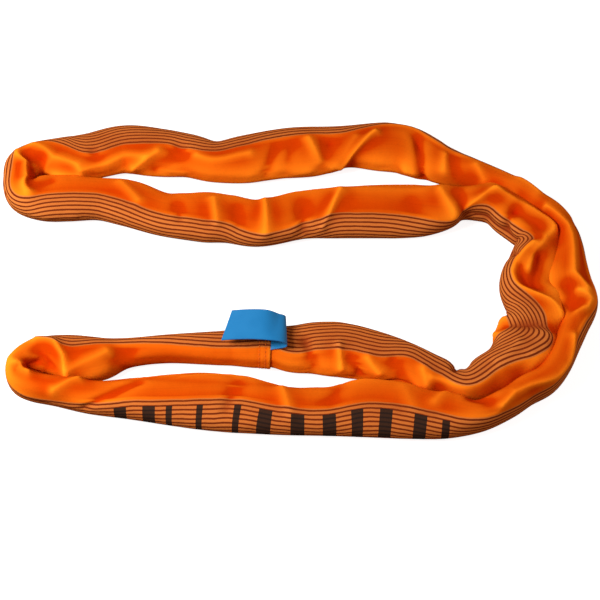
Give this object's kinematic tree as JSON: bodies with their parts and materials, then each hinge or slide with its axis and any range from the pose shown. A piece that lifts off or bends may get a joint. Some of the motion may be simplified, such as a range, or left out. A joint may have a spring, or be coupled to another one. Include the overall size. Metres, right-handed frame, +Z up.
{
  "type": "endless polyester round sling",
  "caption": "Endless soft lifting sling: yarn core in a woven striped cover, laid as a doubled strand bent into a C, with a sewn-in label that lifts.",
  "frame": {"origin": "on the floor, under the middle of the sling's bounding box", "axes": "+X from the two folded ends towards the closed bend of the C, +Y from the arm with the label to the other arm, +Z up"},
  "size_m": [0.6999, 0.4414, 0.0509],
  "materials": {
    "cover": "woven polyester, matt with a slight sheen, dark brown tracer stripes along one side",
    "yarn": "undyed high-tenacity polyester yarn",
    "tape": "adhesive cloth tape",
    "thread": "sewing thread",
    "label": "coated woven polyester label, satin"
  },
  "bodies": {
    "sling": {"cover_sleeve": "cover", "core_yarn_bundle_1": "yarn", "core_yarn_bundle_2": "yarn", "core_yarn_bundle_3": "yarn", "core_yarn_bundle_4": "yarn", "core_yarn_bundle_5": "yarn", "core_yarn_bundle_6": "yarn", "core_yarn_bundle_7": "yarn", "core_end_tape": "tape", "lap_needle_thread_1": "thread", "lap_needle_thread_2": "thread", "lap_bobbin_thread_1": "thread", "lap_bobbin_thread_2": "thread", "label_tail": "label"},
    "label_flap": {"label_flap": "label"}
  },
  "joints": [
    {"name": "label_lift", "type": "hinge", "parent": "sling", "child": "label_flap", "pos_m": [-0.02426, -0.0977, 0.0505], "axis": [0.0998, 0.995, 0], "range_deg": [0, 120]}
  ]
}
